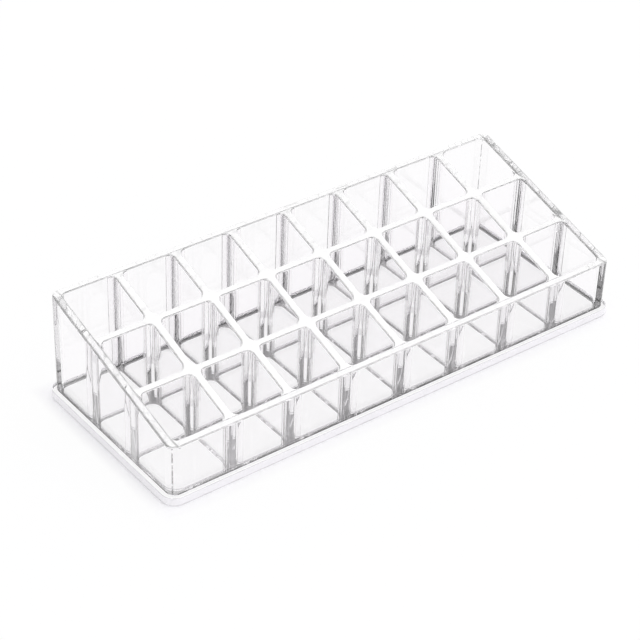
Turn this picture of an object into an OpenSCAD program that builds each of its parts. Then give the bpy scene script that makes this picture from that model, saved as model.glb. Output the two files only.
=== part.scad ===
// Clear lipstick organizer: an egg-crate of dividers in a wrap-round wall on a flanged base plate.
// The origin is the middle of the base plate's underside. X runs along the front, Y to the back, Z up.

/* [Body] */
// Width of the walled body, outside
body_w = 221; // [180:1:300]
// Depth of the walled body, outside
body_d = 84; // [70:1:130]
// Thickness of the front, back and side walls
wall_t = 3.6; // [1.6:0.1:5]
// Radius of the body's upright corners, outside
corner_r = 4; // [3:0.5:6]
// Radius of the upright corners inside every pocket
pocket_r = 2.7; // [0.8:0.1:4]

/* [Heights above the table] */
// Top of the back wall
back_h = 48.5; // [36:0.5:80]
// Top of the front wall
front_h = 26.5; // [16:0.5:34]

/* [Dividers] */
// Thickness of every divider
divider_t = 3.6; // [1.4:0.1:5]
// Edge thickness of the feet where a divider's end meets a wall
foot_lip = 0.2; // [0.1:0.05:0.4]

/* [Base plate] */
// Thickness of the base plate at its flange
base_t = 4; // [1.6:0.1:6]
// How far the flange stands out past the walls
flange_w = 2; // [0.5:0.1:6]
// Height of the raised floor in each pocket
pad_h = 0.4; // [0.2:0.1:2]

/* [Fits] */
// Cement line between bonded faces
bond_gap = 0.05; // [0.02:0.01:0.1]
// Clearance between a raised floor and the walls round it
pad_gap = 0.1; // [0.1:0.05:0.3]

/* [Hidden] */
$fn = 64;

// Pockets from left to right and from front to back
columns = 8;
rows = 3;
// Distance from one pocket's middle to the next
pitch_x = (body_w - wall_t) / columns;
pitch_y = (body_d - wall_t) / rows;
// Where the walls stand: just above the base plate's face
wall_z = base_t + bond_gap;
// Radius of the flange's corners, which keep its width round the body's corners
flange_r = corner_r + flange_w;
// Half the width of the filleted column where two dividers cross
node_half = divider_t / 2 + pocket_r;
// Radius of the curve on a divider's foot
foot_r = pocket_r - foot_lip;
// Radius of a raised floor's corners, at which they pass the edges of the feet at the same gap
pad_r = pocket_r + sqrt(2 * foot_r * foot_lip) - pad_gap;
// How far a cut runs past the face it opens
overrun = wall_t;

clear_colour = [0.90, 0.93, 0.96, 0.45];
floor_colour = [0.84, 0.88, 0.92, 0.55];

// Place of the wall or divider line number i, counted from the left or from the front
function line_x(i) = -body_w / 2 + wall_t / 2 + i * pitch_x;
function line_y(i) = -body_d / 2 + wall_t / 2 + i * pitch_y;

// Top of the long divider in line i, which rises with the side walls' slope
function row_h(i) = front_h + (back_h - front_h) * (i * pitch_y - wall_t / 2) / (body_d - 2 * wall_t);
// Height at which the two dividers of a crossing meet, one notched from above and one from below
function lap_z(i) = (wall_z + row_h(i)) / 2;

// Tops of the front and back walls, level over the wall
front_top = [[-body_d / 2, front_h], [-body_d / 2 + wall_t, front_h]];
back_top = [[body_d / 2 - wall_t, back_h], [body_d / 2, back_h]];
// Tops of a cross divider where it meets the long dividers, level and flush with them
crossing_tops = [
    for (i = [1 : rows - 1], side = [-1, 1])
        [line_y(i) + side * divider_t / 2, row_h(i)]
];

module rounded_rectangle(w, d, r) {
    square([w - 2 * r, d], center = true);
    square([w, d - 2 * r], center = true);
    for (x = [-1, 1], y = [-1, 1])
        translate([x * (w / 2 - r), y * (d / 2 - r)]) circle(r);
}

// Everything under a line of tops seen from the side, over the whole width
module under_tops(tops) {
    translate([-body_w / 2, 0, 0])
        rotate([90, 0, 90])
            linear_extrude(body_w)
                polygon(concat(tops, [[body_d / 2, wall_z], [-body_d / 2, wall_z]]));
}

// Plan of the column where two dividers cross: a square with its corners scooped out
module crossing_plan() {
    difference() {
        square(2 * node_half, center = true);
        for (x = [-1, 1], y = [-1, 1])
            translate([x * node_half, y * node_half]) circle(pocket_r);
    }
}

// Plan of the foot that spreads a divider's end over the wall; the wall is at y = 0
module foot_plan() {
    foot_half = divider_t / 2 + foot_r;
    difference() {
        translate([-foot_half, 0]) square([2 * foot_half, pocket_r]);
        for (x = [-1, 1])
            translate([x * foot_half, pocket_r]) circle(foot_r);
    }
}

// Plan of a divider of the given length along Y, centred, with a column at each place
module divider_plan(length, places) {
    square([divider_t, length], center = true);
    for (end = [0, 180])
        rotate(end) translate([0, -length / 2]) foot_plan();
    for (place = places)
        translate([0, place]) crossing_plan();
}

module base_plate() {
    color(floor_colour) {
        linear_extrude(base_t)
            rounded_rectangle(body_w + 2 * flange_w, body_d + 2 * flange_w, flange_r);
        for (column = [0 : columns - 1], row = [0 : rows - 1])
            floor_pad(column, row);
    }
}

// Raised floor of one pocket, which locates the walls and dividers round it
module floor_pad(column, row) {
    left = line_x(column) + (column == 0 ? wall_t : divider_t) / 2 + pad_gap;
    right = line_x(column + 1) - (column == columns - 1 ? wall_t : divider_t) / 2 - pad_gap;
    front = line_y(row) + (row == 0 ? wall_t : divider_t) / 2 + pad_gap;
    back = line_y(row + 1) - (row == rows - 1 ? wall_t : divider_t) / 2 - pad_gap;
    translate([(left + right) / 2, (front + back) / 2, 0])
        linear_extrude(base_t + pad_h)
            rounded_rectangle(right - left, back - front, pad_r);
}

module outer_shell() {
    color(clear_colour)
        intersection() {
            linear_extrude(back_h)
                difference() {
                    rounded_rectangle(body_w, body_d, corner_r);
                    rounded_rectangle(body_w - 2 * wall_t, body_d - 2 * wall_t, pocket_r);
                }
            under_tops(concat(front_top, back_top));
        }
}

// Divider from left to right, notched from above at every crossing
module long_divider(row) {
    color(clear_colour)
        difference() {
            translate([0, line_y(row), wall_z])
                linear_extrude(row_h(row) - wall_z)
                    rotate(-90)
                        divider_plan(
                            body_w - 2 * (wall_t + bond_gap),
                            [for (i = [1 : columns - 1]) line_x(i)]
                        );
            for (i = [1 : columns - 1])
                translate([line_x(i), line_y(row), lap_z(row) - bond_gap / 2])
                    translate([-node_half - bond_gap, -node_half - overrun, 0])
                        cube([2 * (node_half + bond_gap), 2 * (node_half + overrun), row_h(row)]);
        }
}

// Divider from front to back with a sloping top, notched from below at every crossing
module cross_divider(i) {
    color(clear_colour)
        difference() {
            intersection() {
                translate([line_x(i), 0, 0])
                    linear_extrude(back_h)
                        divider_plan(
                            body_d - 2 * (wall_t + bond_gap),
                            [for (row = [1 : rows - 1]) line_y(row)]
                        );
                under_tops(concat(front_top, crossing_tops, back_top));
            }
            for (row = [1 : rows - 1])
                translate([line_x(i), line_y(row), 0])
                    translate([-node_half - overrun, -node_half - bond_gap, 0])
                        cube([2 * (node_half + overrun), 2 * (node_half + bond_gap), lap_z(row) + bond_gap / 2]);
        }
}

base_plate();
outer_shell();
long_divider(1);  // long_divider_front
long_divider(2);  // long_divider_rear
cross_divider(1);  // cross_divider_1
cross_divider(2);  // cross_divider_2
cross_divider(3);  // cross_divider_3
cross_divider(4);  // cross_divider_4
cross_divider(5);  // cross_divider_5
cross_divider(6);  // cross_divider_6
cross_divider(7);  // cross_divider_7
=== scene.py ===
"""Clear lipstick organizer: crystal-clear walls and dividers bonded to a flanged base plate."""

import math

import bmesh
import bpy
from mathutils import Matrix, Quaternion, Vector


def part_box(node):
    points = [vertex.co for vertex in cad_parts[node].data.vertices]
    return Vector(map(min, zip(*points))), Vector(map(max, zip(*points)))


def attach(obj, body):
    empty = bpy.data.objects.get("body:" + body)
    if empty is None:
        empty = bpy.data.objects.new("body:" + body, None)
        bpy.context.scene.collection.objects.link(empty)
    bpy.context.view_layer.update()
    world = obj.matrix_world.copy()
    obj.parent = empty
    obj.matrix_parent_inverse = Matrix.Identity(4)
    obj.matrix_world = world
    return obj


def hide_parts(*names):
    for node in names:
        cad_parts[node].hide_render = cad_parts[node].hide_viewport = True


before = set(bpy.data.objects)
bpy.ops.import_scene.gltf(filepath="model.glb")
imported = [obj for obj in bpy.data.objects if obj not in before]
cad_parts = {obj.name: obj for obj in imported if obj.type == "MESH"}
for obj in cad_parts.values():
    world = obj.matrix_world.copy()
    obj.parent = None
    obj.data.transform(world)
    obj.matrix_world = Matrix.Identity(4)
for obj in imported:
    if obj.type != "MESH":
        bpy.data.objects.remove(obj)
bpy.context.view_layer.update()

# Sizes in millimetres
MM = 0.001
WALL = 3.6
DIVIDER = 3.6
CORNER_RADIUS = 4.0
POCKET_RADIUS = 2.7
FOOT_LIP = 0.2
FOOT_RADIUS = POCKET_RADIUS - FOOT_LIP
FRONT_TOP = 26.5
BASE_TOP = 4.0
FLANGE_RADIUS = 6.0
PAD_GAP = 0.1
# A raised floor's corners pass the edges of the dividers' feet at that gap
PAD_RADIUS = POCKET_RADIUS + math.sqrt(2 * FOOT_RADIUS * FOOT_LIP) - PAD_GAP
COLUMNS = 8
ROWS = 3

# Rounding of the tops, of the base plate's edges and of the raised floors' edges
EDGE_ROUND = 0.8
BASE_ROUND = 0.4
PAD_ROUND = 0.15

# The joints are filled: how deep the walls' and the dividers' feet stand in the plate's face, how far the
# dividers' ends reach into the walls, and how far the halves of a crossing overlap
WALL_SINK = 0.3
DIVIDER_SINK = 0.2
REACH = 0.2
FUSE = 0.02

# The dividers' ends, feet and arms are made longer by this and cut to length once the tops are rounded, so
# that the rounding stops square at their ends
SPARE = 2.0

# Steps in a quarter turn and in a rounded edge, and the sharpest bend that is shaded smooth
QUARTER_STEPS = 8
ROUND_STEPS = 3
CREASE = math.radians(50)

# Places in millimetres, from the frame
shell_low, shell_high = (Vector(corner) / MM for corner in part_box("outer_shell"))
base_low, base_high = (Vector(corner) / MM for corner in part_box("base_plate"))
HALF_W = shell_high.x
HALF_D = shell_high.y
BACK_TOP = shell_high.z
WALL_FOOT = shell_low.z
FLOOR_TOP = base_high.z
FLANGE = base_high.x - HALF_W
INNER_W = HALF_W - WALL
INNER_D = HALF_D - WALL
PITCH_X = (2 * HALF_W - WALL) / COLUMNS
PITCH_Y = (2 * HALF_D - WALL) / ROWS
LINES_X = [-HALF_W + WALL / 2 + i * PITCH_X for i in range(COLUMNS + 1)]
LINES_Y = [-HALF_D + WALL / 2 + i * PITCH_Y for i in range(ROWS + 1)]
LONG_DIVIDERS = ["long_divider_front", "long_divider_rear"]
CROSS_DIVIDERS = [f"cross_divider_{i}" for i in range(1, COLUMNS)]
ROW_TOPS = [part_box(name)[1].z / MM for name in LONG_DIVIDERS]
HALF_WEB = DIVIDER / 2
HALF_NODE = HALF_WEB + POCKET_RADIUS
# The tops and their rounding lie above TOPS_ABOVE, by at least TOPS_SPARE, and the crossings' laps below it
TOPS_SPARE = 1
TOPS_ABOVE = FRONT_TOP - EDGE_ROUND - TOPS_SPARE


# The camera stands where the photograph was taken from

CAMERA_AZIMUTH = -38.513
CAMERA_ELEVATION = 35.001
CAMERA_ROLL = 2.191
CAMERA_DISTANCE = 822.8
CAMERA_TARGET = Vector((-10.33, -0.03, 20.0))
SENSOR_WIDTH = 36
FRAME_WIDTH_PX = 640
FOCAL_PX = 2040.9
# Nearest and farthest distance that the camera sees, in metres
CLIP_START = 0.01
CLIP_END = 50


def make_camera():
    camera = bpy.data.objects.new("camera", bpy.data.cameras.new("camera"))
    bpy.context.scene.collection.objects.link(camera)
    azimuth, elevation = math.radians(CAMERA_AZIMUTH), math.radians(CAMERA_ELEVATION)
    back = Vector((
        math.sin(azimuth) * math.cos(elevation),
        -math.cos(azimuth) * math.cos(elevation),
        math.sin(elevation),
    ))
    camera.location = (CAMERA_TARGET + back * CAMERA_DISTANCE) * MM
    camera.rotation_mode = "QUATERNION"
    roll = Quaternion((0, 0, 1), math.radians(CAMERA_ROLL))
    camera.rotation_quaternion = (-back).to_track_quat("-Z", "Y") @ roll
    camera.data.sensor_width = SENSOR_WIDTH
    camera.data.lens = SENSOR_WIDTH * FOCAL_PX / FRAME_WIDTH_PX
    camera.data.clip_start = CLIP_START
    camera.data.clip_end = CLIP_END
    bpy.context.scene.camera = camera


# Shader maths


class Wire:
    """A socket in a node tree that Python operators turn into Math nodes."""

    def __init__(self, graph, socket):
        self.graph = graph
        self.socket = socket

    def maths(self, operation, *values):
        node = self.graph.node("ShaderNodeMath", {"operation": operation}, dict(enumerate(values)))
        return Wire(self.graph, node.outputs[0])

    def __add__(self, other):
        return self.maths("ADD", self, other)

    def __radd__(self, other):
        return self.maths("ADD", other, self)

    def __sub__(self, other):
        return self.maths("SUBTRACT", self, other)

    def __rsub__(self, other):
        return self.maths("SUBTRACT", other, self)

    def __mul__(self, other):
        return self.maths("MULTIPLY", self, other)

    def __rmul__(self, other):
        return self.maths("MULTIPLY", other, self)

    def __abs__(self):
        return self.maths("ABSOLUTE", self)

    def __gt__(self, other):
        return self.maths("GREATER_THAN", self, other)

    def __lt__(self, other):
        return self.maths("LESS_THAN", self, other)

    def maximum(self, other):
        return self.maths("MAXIMUM", self, other)

    def minimum(self, other):
        return self.maths("MINIMUM", self, other)


class Graph:
    """The node tree of one material or world."""

    def __init__(self, tree):
        self.tree = tree
        tree.nodes.clear()

    def node(self, kind, settings=None, sockets=None):
        node = self.tree.nodes.new(kind)
        for name, value in (settings or {}).items():
            if name == "stops":
                self.set_stops(node.color_ramp, value)
            else:
                setattr(node, name, value)
        for name, value in (sockets or {}).items():
            if isinstance(value, Wire):
                self.tree.links.new(value.socket, node.inputs[name])
            else:
                node.inputs[name].default_value = value
        return node

    def wire(self, kind, output, settings=None, sockets=None):
        return Wire(self, self.node(kind, settings, sockets).outputs[output])

    @staticmethod
    def set_stops(ramp, stops):
        while len(ramp.elements) < len(stops):
            ramp.elements.new(1.0)
        for element, (place, colour) in zip(ramp.elements, stops):
            element.position = place
            element.color = colour


def grey(level):
    return (level, level, level, 1.0)


def position(graph):
    return graph.wire("ShaderNodeTexCoord", "Object")


def axes(graph, vector):
    parts = graph.node("ShaderNodeSeparateXYZ", None, {"Vector": vector})
    return [Wire(graph, parts.outputs[axis]) for axis in "XYZ"]


def height(graph):
    return axes(graph, position(graph))[2]


def upward(graph):
    """How far the surface looks up: 1 on a level top, 0 on an upright face."""
    return axes(graph, graph.wire("ShaderNodeNewGeometry", "Normal"))[2]


def noise(graph, per_metre, detail):
    return graph.wire(
        "ShaderNodeTexNoise", "Fac", None, {"Vector": position(graph), "Scale": per_metre, "Detail": detail}
    )


def ramp(value, span):
    """0 up to the start of the span and 1 from its end on."""
    start, end = span
    return ((value - start) * (1 / (end - start))).maximum(0.0).minimum(1.0)


def between(value, rise, fall):
    """1 between two spans, the first of which rises from 0 and the second falls back to it."""
    return ramp(value, rise) * (1.0 - ramp(value, fall))


# Finishes, and painted highlight and shade

# The clear plastic, with faint waves from the mould and hardly any haze
WALL_TINT = (0.995, 0.989, 0.996, 1.0)
BASE_TINT = (0.99, 0.983, 0.992, 1.0)
REFRACTION = 1.5
WAVES_PER_METRE = 45.0
WAVE_DETAIL = 2.0
WAVE_STRENGTH = 0.02
WAVE_DEPTH = 1.0 * MM
HAZE_PER_METRE = 120.0
HAZE_DETAIL = 3.0
HAZE_ROUGHNESS = 0.02

# Shares of the matt marks where they are strongest: a frosted white that is partly a painted highlight on the
# tops and on the side walls' sloping ones, painted shade along the edges of both, a sanded grey that is
# partly painted shade on the base plate's sides, painted shade along its upper edge and painted shadow along
# its foot, a dark bond line deepened into painted shade where the walls are bonded to it, and painted shade
# down the outside corners
TOP_FROST_AND_HIGHLIGHT = 0.7
SLOPE_FROST_AND_HIGHLIGHT = 0.3
EDGE_SHADE_SHARE = 0.45
SLOPE_EDGE_SHADE_SHARE = 0.75
SIDE_SANDING_AND_SHADE_SHARE = 0.5
RIM_SHADE_SHARE = 0.4
FOOT_SHADOW_SHARE = 0.35
JOINT_BOND_AND_SHADE_SHARE = 0.85
CORNER_SHADE_SHARE = 0.6

# Widths of the lines, in millimetres
SLOPE_EDGE = 1.0
FOOT_LINE = 1.0
JOINT_LINE = 0.8
# Down a corner, the painted shade line is where the depths behind the two walls' outer faces differ by less
# than this
CORNER_LINE = 0.4
# A point no farther in from the walls' outer faces than this is on one of the flat ones
FLAT_WITHIN = 0.2

# Dashes of the broken lines: how many to a metre, and how much of the line is left between them
TOP_DASHES = (300.0, 0.3)
EDGE_DASHES = (200.0, 0.4)
JOINT_DASHES = (150.0, 0.6)
CORNER_DASHES = (700.0, 0.0)
DASH_DETAIL = 1.0
DASH_SPAN = (0.35, 0.55)

# Spans of the tilt over which a coat comes in or goes out
TOP_IN = (0.65, 0.9)
WALL_TOP_IN = (0.3, 0.6)
LEVEL_TOP_IN = (0.965, 0.985)
SLOPE_IN = (0.3, 0.5)
EDGE_IN = (0.2, 0.35)
RIM_IN = (0.1, 0.4)
EDGE_OUT = (0.6, 0.85)
SIDE_OUT = (0.3, 0.9)
UPRIGHT_OUT = (0.1, 0.3)


def broken(graph, dashes):
    """The strength of a line that is broken up into dashes."""
    per_metre, left = dashes
    return left + ramp(noise(graph, per_metre, DASH_DETAIL), DASH_SPAN) * (1 - left)


def above_laps(graph):
    return height(graph) > TOPS_ABOVE * MM


def past_walls(graph):
    """How far a point lies out past the walls' outer faces at the sides and at the front or back."""
    across, along, _ = axes(graph, position(graph))
    return abs(across) - HALF_W * MM, abs(along) - HALF_D * MM


# A frosted white on the dividers' tops, partly a painted highlight
def on_tops_frost_and_highlight(graph):
    return ramp(upward(graph), TOP_IN) * above_laps(graph) * TOP_FROST_AND_HIGHLIGHT


# A frosted white on the walls' tops, fainter on the sloping ones, partly a painted highlight
def on_wall_tops_frost_and_highlight(graph):
    tilt = upward(graph)
    white = ramp(tilt, WALL_TOP_IN) * SLOPE_FROST_AND_HIGHLIGHT + ramp(tilt, LEVEL_TOP_IN) * (TOP_FROST_AND_HIGHLIGHT - SLOPE_FROST_AND_HIGHLIGHT)
    return white * above_laps(graph)


# Painted shade: a broken grey line along the rounded edges of the tops
def on_top_edges_painted_shade(graph):
    edge = between(upward(graph), EDGE_IN, EDGE_OUT) * above_laps(graph)
    return edge * broken(graph, TOP_DASHES) * EDGE_SHADE_SHARE


def on_slope_edges_painted_shade(graph):
    """Painted shade along the outer and the inner edge of the side walls' tops."""
    from_side, _ = past_walls(graph)
    off_middle = abs(from_side + WALL / 2 * MM)
    edge = ramp(off_middle, ((WALL / 2 - SLOPE_EDGE) * MM, (WALL - SLOPE_EDGE) / 2 * MM))
    top = (from_side > -WALL * MM) * ramp(upward(graph), SLOPE_IN) * above_laps(graph)
    return edge * top * broken(graph, EDGE_DASHES) * SLOPE_EDGE_SHADE_SHARE


def on_corners_painted_shade(graph):
    """Painted shade down the middle of each outside corner of the wall."""
    from_side, from_front = past_walls(graph)
    line = abs(from_side - from_front) < CORNER_LINE * MM
    outside = from_side > -CORNER_RADIUS / 2 * MM
    upright = 1.0 - ramp(abs(upward(graph)), UPRIGHT_OUT)
    return line * outside * upright * broken(graph, CORNER_DASHES) * CORNER_SHADE_SHARE


def on_joint_bond_and_shade(graph):
    """A dark bond line, deepened into painted shade, at the foot of the walls' flat outer faces, on the
    plate.
    """
    low = 1.0 - ramp(height(graph), (BASE_TOP * MM, (BASE_TOP + JOINT_LINE) * MM))
    from_side, from_front = past_walls(graph)
    flat = from_side.maximum(from_front) > -FLAT_WITHIN * MM
    return low * flat * broken(graph, JOINT_DASHES) * JOINT_BOND_AND_SHADE_SHARE


# A sanded grey on the plate's sides, partly painted shade
def on_plate_sides_sanding_and_shade(graph):
    return (1.0 - ramp(abs(upward(graph)), SIDE_OUT)) * SIDE_SANDING_AND_SHADE_SHARE


# Painted shade: a broken grey line along the rounded upper edge of the plate, outside the walls
def on_plate_rim_painted_shade(graph):
    from_side, from_front = past_walls(graph)
    outside = from_side.maximum(from_front) > BASE_ROUND * MM
    return between(upward(graph), RIM_IN, EDGE_OUT) * outside * broken(graph, EDGE_DASHES) * RIM_SHADE_SHARE


# Painted shadow: a broken grey line along the foot of the plate's sides, where it meets the table
def on_plate_foot_painted_shadow(graph):
    low = 1.0 - ramp(height(graph), (FOOT_LINE / 2 * MM, FOOT_LINE * MM))
    upright = 1.0 - ramp(upward(graph), UPRIGHT_OUT)
    return low * upright * broken(graph, EDGE_DASHES) * FOOT_SHADOW_SHARE


# Matt marks, each over those before it: its colour and where it is. The tops' white is a frosted finish and
# partly a painted highlight; the greys and darks are painted shade and shadow, partly a sanded finish on the
# plate's sides and partly a dark bond line at the walls' foot
FROST_AND_HIGHLIGHT_WHITE = grey(0.97)
EDGE_PAINTED_SHADE = (grey(0.4), on_top_edges_painted_shade)
DIVIDER_FINISH_AND_PAINTED_LIGHT = [(FROST_AND_HIGHLIGHT_WHITE, on_tops_frost_and_highlight), EDGE_PAINTED_SHADE]
WALL_FINISH_AND_PAINTED_LIGHT = [
    (FROST_AND_HIGHLIGHT_WHITE, on_wall_tops_frost_and_highlight),
    EDGE_PAINTED_SHADE,
    (grey(0.35), on_slope_edges_painted_shade),
    (grey(0.15), on_corners_painted_shade),
    (grey(0.1), on_joint_bond_and_shade),
]
BASE_FINISH_AND_PAINTED_SHADE = [
    ((0.8, 0.78, 0.83, 1.0), on_plate_sides_sanding_and_shade),
    (grey(0.3), on_plate_rim_painted_shade),
    (grey(0.3), on_plate_foot_painted_shadow),
]


def clear_plastic(name, tint, finish_and_painted_light):
    material = bpy.data.materials.new(name)
    material.use_nodes = True
    graph = Graph(material.node_tree)
    waves = noise(graph, WAVES_PER_METRE, WAVE_DETAIL)
    bump = graph.wire(
        "ShaderNodeBump", "Normal", None, {"Height": waves, "Strength": WAVE_STRENGTH, "Distance": WAVE_DEPTH}
    )
    shader = graph.wire(
        "ShaderNodeBsdfPrincipled",
        "BSDF",
        None,
        {
            "Base Color": tint,
            "Roughness": noise(graph, HAZE_PER_METRE, HAZE_DETAIL) * HAZE_ROUGHNESS,
            "IOR": REFRACTION,
            "Transmission Weight": 1.0,
            "Normal": bump,
        },
    )
    # Lays each mark over the clear plastic: the frosted and sanded finishes and the painted highlight and
    # shade
    for colour, place in finish_and_painted_light:
        mark = graph.wire("ShaderNodeBsdfDiffuse", "BSDF", None, {"Color": colour})
        shader = graph.wire("ShaderNodeMixShader", "Shader", None, {"Fac": place(graph), 1: shader, 2: mark})
    graph.node("ShaderNodeOutputMaterial", None, {"Surface": shader})
    return material


# Plans and solids, in millimetres

# A face is flat if its normal's upward part is over FLAT, and upright if that part is under UPRIGHT
FLAT = 0.7
UPRIGHT = 0.3
# Vertices closer to a cutting plane than this are on it
ON_PLANE = 1e-4
# Shape of a bevel that is part of a circle
ROUND_PROFILE = 0.5


def arc(centre, radius, start, end):
    """Points of an arc from one angle to another, in degrees, with both ends."""
    steps = max(1, round(abs(end - start) / 90 * QUARTER_STEPS))
    angles = [math.radians(start + (end - start) * step / steps) for step in range(steps + 1)]
    return [(centre[0] + radius * math.cos(a), centre[1] + radius * math.sin(a)) for a in angles]


def rounded_rectangle(half_w, half_d, radius):
    points = []
    for side_x, side_y, turn in ((1, 1, 0), (-1, 1, 90), (-1, -1, 180), (1, -1, 270)):
        centre = (side_x * (half_w - radius), side_y * (half_d - radius))
        points += arc(centre, radius, turn, turn + 90)
    return points


def divider_outline(half_length, places):
    """Plan of a divider along Y between walls half_length away, with a foot on each wall and a filleted
    column with two arms at each place. Its ends, feet and arms are longer by SPARE."""
    half_foot = HALF_WEB + FOOT_RADIUS
    spread, lip = half_foot + SPARE, half_length - FOOT_LIP
    side = [(spread, -half_length - SPARE), (spread, -lip)]
    side += arc((half_foot, POCKET_RADIUS - half_length), FOOT_RADIUS, 270, 180)
    for place in places:
        side += arc((HALF_NODE, place - HALF_NODE), POCKET_RADIUS, 180, 90)
        side += [(HALF_NODE + SPARE, place - HALF_WEB), (HALF_NODE + SPARE, place + HALF_WEB)]
        side += arc((HALF_NODE, place + HALF_NODE), POCKET_RADIUS, 270, 180)
    side += arc((half_foot, half_length - POCKET_RADIUS), FOOT_RADIUS, 180, 90)
    side += [(spread, lip), (spread, half_length + SPARE)]
    return side + [(-x, y) for x, y in reversed(side)]


def inset(outline, distance):
    """An outline that runs anticlockwise, moved inwards, or outwards by a negative distance."""
    points = [Vector(point) for point in outline]
    ways = [(after - point).normalized() for point, after in zip(points, points[1:] + points[:1])]
    moved = []
    for point, arriving, leaving in zip(points, ways[-1:] + ways[:-1], ways):
        inward = Vector((-arriving.y - leaving.y, arriving.x + leaving.x))
        moved.append(point + inward * distance / (1 + arriving.dot(leaving)))
    return moved


def rounded_levels(low, high, rounding):
    """Pairs of an inset and a height, from low up to high round an edge of that radius."""
    turns = [math.radians(90 * step / ROUND_STEPS) for step in range(ROUND_STEPS + 1)] if rounding else [0.0]
    return [(0.0, low)] + [
        (rounding * (1 - math.cos(turn)), high - rounding * (1 - math.sin(turn))) for turn in turns
    ]


def bridge(solid, loop, following):
    for i in range(len(loop)):
        j = (i + 1) % len(loop)
        solid.faces.new((loop[i], loop[j], following[j], following[i]))


def extrude(outline, low, high, rounding=0.0):
    """A prism on an outline, with its upper edge rounded."""
    solid = bmesh.new()
    loops = [
        [solid.verts.new((x, y, z)) for x, y in inset(outline, depth)]
        for depth, z in rounded_levels(low, high, rounding)
    ]
    for loop, following in zip(loops, loops[1:]):
        bridge(solid, loop, following)
    solid.faces.new(loops[0])
    solid.faces.new(loops[-1])
    bmesh.ops.recalc_face_normals(solid, faces=solid.faces)
    return solid


def extrude_ring(outer, inner, low, high, rounding=0.0):
    """A wall between two outlines that have the same number of points, with its upper edges rounded."""
    solid = bmesh.new()
    levels = rounded_levels(low, high, rounding)
    rings = [(inset(outer, depth), z) for depth, z in levels]
    rings += [(inset(inner, -depth), z) for depth, z in reversed(levels)]
    loops = [[solid.verts.new((x, y, z)) for x, y in outline] for outline, z in rings]
    for loop, following in zip(loops, loops[1:] + loops[:1]):
        bridge(solid, loop, following)
    bmesh.ops.recalc_face_normals(solid, faces=solid.faces)
    return solid


def height_at(tops, y):
    """Height of a line of (y, height) points, level beyond its ends."""
    if y <= tops[0][0]:
        return tops[0][1]
    for (y0, h0), (y1, h1) in zip(tops, tops[1:]):
        if y <= y1:
            return h0 + (h1 - h0) * (y - y0) / (y1 - y0)
    return tops[-1][1]


def raise_tops(solid, tops):
    """Moves the upper vertices to the heights of a line of (y, height) points, with an edge at each point."""
    foot, level = min(vert.co.z for vert in solid.verts), max(vert.co.z for vert in solid.verts)
    for y, _ in tops:
        whole = solid.verts[:] + solid.edges[:] + solid.faces[:]
        bmesh.ops.bisect_plane(solid, geom=whole, dist=ON_PLANE, plane_co=(0, y, 0), plane_no=(0, 1, 0))
    for vert in solid.verts:
        if vert.co.z > (foot + level) / 2:
            vert.co.z += height_at(tops, vert.co.y) - level


def is_rim(edge, level):
    """True for an edge at or above level between a face that looks up or down and an upright one."""
    flat, upright = sorted(edge.link_faces, key=lambda face: -abs(face.normal.z))
    middle = (edge.verts[0].co.z + edge.verts[1].co.z) / 2
    return abs(flat.normal.z) > FLAT and abs(upright.normal.z) < UPRIGHT and middle >= level


def round_rims(solid, level, radius):
    rims = [edge for edge in solid.edges if is_rim(edge, level)]
    bmesh.ops.bevel(
        solid,
        geom=rims,
        offset=radius,
        segments=ROUND_STEPS,
        profile=ROUND_PROFILE,
        affect="EDGES",
        clamp_overlap=True,
    )


def box_solid(low, high):
    solid = bmesh.new()
    bmesh.ops.create_cube(solid, size=1)
    for vert in solid.verts:
        vert.co = Vector([low[k] if vert.co[k] < 0 else high[k] for k in range(3)])
    return solid


def around(half_x, half_y):
    """Four blocks that leave only the middle between them."""
    blocks = []
    for side in (-1, 1):
        near, far = sorted((side * half_x, side * 2 * HALF_W))
        blocks.append(box_solid((near, -HALF_W, -WALL), (far, HALF_W, BACK_TOP + WALL)))
        near, far = sorted((side * half_y, side * 2 * HALF_W))
        blocks.append(box_solid((-HALF_W, near, -WALL), (HALF_W, far, BACK_TOP + WALL)))
    return blocks


def combine(solid, others, operation):
    """The solid with each of the others cut from it or fused to it."""
    helpers = [mesh_object("helper", part) for part in (solid, *others)]
    for other in helpers[1:]:
        modifier = helpers[0].modifiers.new("combine", "BOOLEAN")
        modifier.operation = operation
        modifier.solver = "EXACT"
        modifier.object = other
    shaped = helpers[0].evaluated_get(bpy.context.evaluated_depsgraph_get())
    result = bmesh.new()
    result.from_mesh(shaped.to_mesh())
    for helper in helpers:
        mesh = helper.data
        bpy.data.objects.remove(helper)
        bpy.data.meshes.remove(mesh)
    return result


def mesh_object(name, solid):
    mesh = bpy.data.meshes.new(name)
    solid.to_mesh(mesh)
    solid.free()
    made = bpy.data.objects.new(name, mesh)
    bpy.context.scene.collection.objects.link(made)
    return made


def finish_piece(node, solid, material):
    """Turns a solid in millimetres into the piece that stands for a node."""
    bmesh.ops.scale(solid, vec=(MM, MM, MM), verts=solid.verts)
    for face in solid.faces:
        face.smooth = True
    piece = mesh_object(f"clear_{node}", solid)
    piece.data.set_sharp_from_angle(angle=CREASE)
    normals = piece.modifiers.new("even_normals", "WEIGHTED_NORMAL")
    normals.keep_sharp = True
    piece.data.materials.append(material)
    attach(piece, "root")
    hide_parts(node)


# The pieces


def pocket_sides(lines, i):
    """Low and high side of raised floor number i in a row of wall and divider lines."""
    low_panel = WALL if i == 0 else DIVIDER
    high_panel = WALL if i == len(lines) - 2 else DIVIDER
    return lines[i] + low_panel / 2 + PAD_GAP, lines[i + 1] - high_panel / 2 - PAD_GAP


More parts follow.
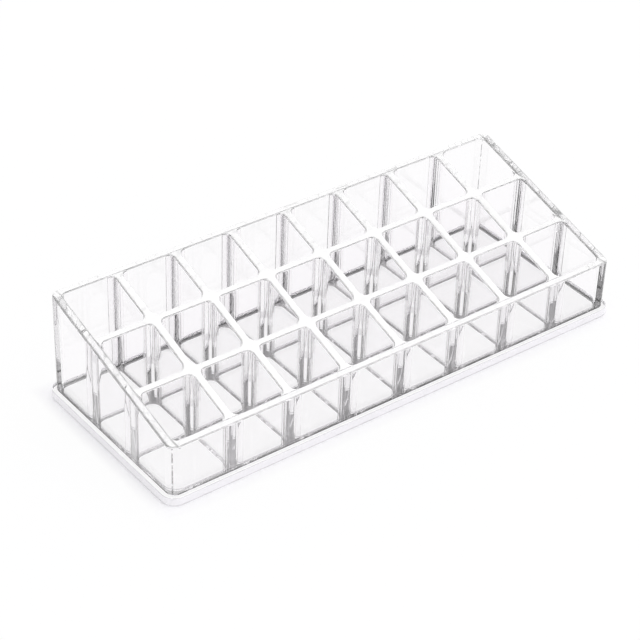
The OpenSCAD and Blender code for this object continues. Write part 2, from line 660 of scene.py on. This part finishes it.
def floor_pad(column, row):
    """Raised floor of one pocket, from inside the plate upwards."""
    left, right = pocket_sides(LINES_X, column)
    front, back = pocket_sides(LINES_Y, row)
    outline = rounded_rectangle((right - left) / 2, (back - front) / 2, PAD_RADIUS)
    shifted = [(x + (left + right) / 2, y + (front + back) / 2) for x, y in outline]
    pad = extrude(shifted, BASE_TOP - WALL / 2, FLOOR_TOP)
    round_rims(pad, FLOOR_TOP, PAD_ROUND)
    return pad


def make_base_plate(material):
    """Flanged plate whose face is sunk under the dividers and deeper under the walls, with a raised floor in
    each pocket."""
    plate = extrude(rounded_rectangle(base_high.x, base_high.y, FLANGE_RADIUS), base_low.z, BASE_TOP)
    round_rims(plate, base_low.z, BASE_ROUND)
    outer = rounded_rectangle(HALF_W, HALF_D, CORNER_RADIUS)
    inner = rounded_rectangle(INNER_W, INNER_D, POCKET_RADIUS)
    sunk = extrude(outer, BASE_TOP - DIVIDER_SINK, BASE_TOP + WALL)
    groove = extrude_ring(outer, inner, BASE_TOP - WALL_SINK, BASE_TOP + WALL)
    plate = combine(plate, [sunk, groove], "DIFFERENCE")
    pads = [floor_pad(column, row) for column in range(COLUMNS) for row in range(ROWS)]
    plate = combine(plate, pads, "UNION")
    finish_piece("base_plate", plate, material)


def make_shell(material):
    """Wrap-round wall with a level top at the front and the back, and a sloping one at each side."""
    outer = rounded_rectangle(HALF_W, HALF_D, CORNER_RADIUS)
    inner = rounded_rectangle(INNER_W, INNER_D, POCKET_RADIUS)
    shell = extrude_ring(outer, inner, WALL_FOOT - WALL_SINK, BACK_TOP, EDGE_ROUND)
    raise_tops(shell, [(-INNER_D, FRONT_TOP), (INNER_D, BACK_TOP)])
    finish_piece("outer_shell", shell, material)


def lap(row):
    """Height at which the two dividers of a crossing meet."""
    return (WALL_FOOT + ROW_TOPS[row]) / 2


def make_long_divider(row, material):
    """Divider from left to right, notched from above at every crossing."""
    turned = [(y, -x) for x, y in divider_outline(INNER_W, LINES_X[1:-1])]
    divider = extrude(turned, WALL_FOOT - DIVIDER_SINK, ROW_TOPS[row], EDGE_ROUND)
    clear = HALF_NODE + WALL
    notches = [
        box_solid(
            (x - HALF_NODE + FUSE, -clear, lap(row) + FUSE / 2),
            (x + HALF_NODE - FUSE, clear, BACK_TOP),
        )
        for x in LINES_X[1:-1]
    ]
    divider = combine(divider, around(INNER_W + REACH, HALF_NODE) + notches, "DIFFERENCE")
    bmesh.ops.translate(divider, vec=(0, LINES_Y[row + 1], 0), verts=divider.verts)
    finish_piece(LONG_DIVIDERS[row], divider, material)


def make_cross_divider(i, material):
    """Divider from front to back with a sloping top, notched from below at every crossing."""
    divider = extrude(divider_outline(INNER_D, LINES_Y[1:-1]), WALL_FOOT - DIVIDER_SINK, BACK_TOP, EDGE_ROUND)
    tops = [(-INNER_D, FRONT_TOP)]
    for y, top in zip(LINES_Y[1:-1], ROW_TOPS):
        tops += [(y - HALF_WEB, top), (y + HALF_WEB, top)]
    tops += [(INNER_D, BACK_TOP)]
    raise_tops(divider, tops)
    clear = HALF_NODE + WALL
    notches = [
        box_solid(
            (-clear, y - HALF_NODE + FUSE, 0),
            (clear, y + HALF_NODE - FUSE, lap(row) - FUSE / 2),
        )
        for row, y in enumerate(LINES_Y[1:-1])
    ]
    divider = combine(divider, around(HALF_NODE, INNER_D + REACH) + notches, "DIFFERENCE")
    bmesh.ops.translate(divider, vec=(LINES_X[i], 0, 0), verts=divider.verts)
    finish_piece(CROSS_DIVIDERS[i - 1], divider, material)


# The setting

# The white table touches the plate: it lies this far above the plate's underside, in millimetres
TABLE_RISE = 0.02
# Half the table's width, in metres
TABLE_HALF = 4.0
TABLE_COLOUR = (0.96, 0.95, 0.985, 1.0)
# Share of the table's look that is plain white: to the camera well away from the plate, to the camera close
# to it, and where the plastic mirrors it or lets it through. The rest is lit and takes the shadow.
WHITE_AWAY = 0.94
WHITE_NEAR = 0.35
WHITE_IN_PLASTIC = 0.93
# Distance from the plate over which the table turns white, in millimetres
NEAR = 6.0


def make_floor():
    mesh = bpy.data.meshes.new("floor")
    corners = [
        (x * TABLE_HALF, y * TABLE_HALF, TABLE_RISE * MM) for x, y in ((-1, -1), (1, -1), (1, 1), (-1, 1))
    ]
    mesh.from_pydata(corners, [], [(0, 1, 2, 3)])
    floor = bpy.data.objects.new("floor", mesh)
    bpy.context.scene.collection.objects.link(floor)
    material = bpy.data.materials.new("white_table")
    material.use_nodes = True
    graph = Graph(material.node_tree)
    path = graph.node("ShaderNodeLightPath")
    seen, mirrored, through = [
        Wire(graph, path.outputs[f"Is {kind} Ray"]) for kind in ("Camera", "Glossy", "Transmission")
    ]
    lit = graph.wire("ShaderNodeBsdfDiffuse", "BSDF", None, {"Color": TABLE_COLOUR})
    white = graph.wire("ShaderNodeEmission", "Emission", None, {"Color": grey(1.0), "Strength": 1.0})
    from_side, from_front = past_walls(graph)
    away = ramp(from_side.maximum(from_front), (FLANGE * MM, (FLANGE + NEAR) * MM))
    to_camera = WHITE_NEAR + away * (WHITE_AWAY - WHITE_NEAR)
    share = seen * to_camera + mirrored.maximum(through) * WHITE_IN_PLASTIC
    shader = graph.wire("ShaderNodeMixShader", "Shader", None, {"Fac": share, 1: lit, 2: white})
    graph.node("ShaderNodeOutputMaterial", None, {"Surface": shader})
    mesh.materials.append(material)


# The studio's level by height, from the horizon to straight above: light, with a dark band half-way up, which
# gives the clear edges their lines
STUDIO = [
    (0.0, grey(0.65)),
    (0.47, grey(0.65)),
    (0.54, grey(0.15)),
    (0.61, grey(0.15)),
    (0.68, grey(0.65)),
    (0.85, grey(0.8)),
]
STUDIO_STRENGTH = 1.75
# The light comes more from the right and the front, by this share of its level
LEAN_RIGHT = 0.3
LEAN_FRONT = 0.3


def make_world():
    """The studio, with a plain white backdrop to the camera."""
    world = bpy.data.worlds.new("studio")
    bpy.context.scene.world = world
    world.use_nodes = True
    graph = Graph(world.node_tree)
    right, back, up = axes(graph, graph.wire("ShaderNodeTexCoord", "Generated"))
    level = graph.wire("ShaderNodeValToRGB", "Color", {"stops": STUDIO}, {"Fac": up})
    strength = (1.0 + right * LEAN_RIGHT - back * LEAN_FRONT) * STUDIO_STRENGTH
    studio = graph.wire("ShaderNodeBackground", "Background", None, {"Color": level, "Strength": strength})
    backdrop = graph.wire("ShaderNodeBackground", "Background", None, {"Color": grey(1.0), "Strength": 1.0})
    seen = graph.wire("ShaderNodeLightPath", "Is Camera Ray")
    shader = graph.wire("ShaderNodeMixShader", "Shader", None, {"Fac": seen, 1: studio, 2: backdrop})
    graph.node("ShaderNodeOutputWorld", None, {"Surface": shader})


# Light passes through many panels before it leaves the organizer
BOUNCES = 32
GLOSSY_BOUNCES = 16

scene = bpy.context.scene
scene.view_settings.view_transform = "Standard"
scene.cycles.max_bounces = BOUNCES
scene.cycles.transmission_bounces = BOUNCES
scene.cycles.glossy_bounces = GLOSSY_BOUNCES

make_camera()
wall_plastic = clear_plastic("clear_wall_plastic", WALL_TINT, WALL_FINISH_AND_PAINTED_LIGHT)
divider_plastic = clear_plastic("clear_divider_plastic", WALL_TINT, DIVIDER_FINISH_AND_PAINTED_LIGHT)
base_plastic = clear_plastic("clear_base_plastic", BASE_TINT, BASE_FINISH_AND_PAINTED_SHADE)
make_base_plate(base_plastic)
make_shell(wall_plastic)
for row in range(len(LONG_DIVIDERS)):
    make_long_divider(row, divider_plastic)
for i in range(1, COLUMNS):
    make_cross_divider(i, divider_plastic)
make_floor()
make_world()
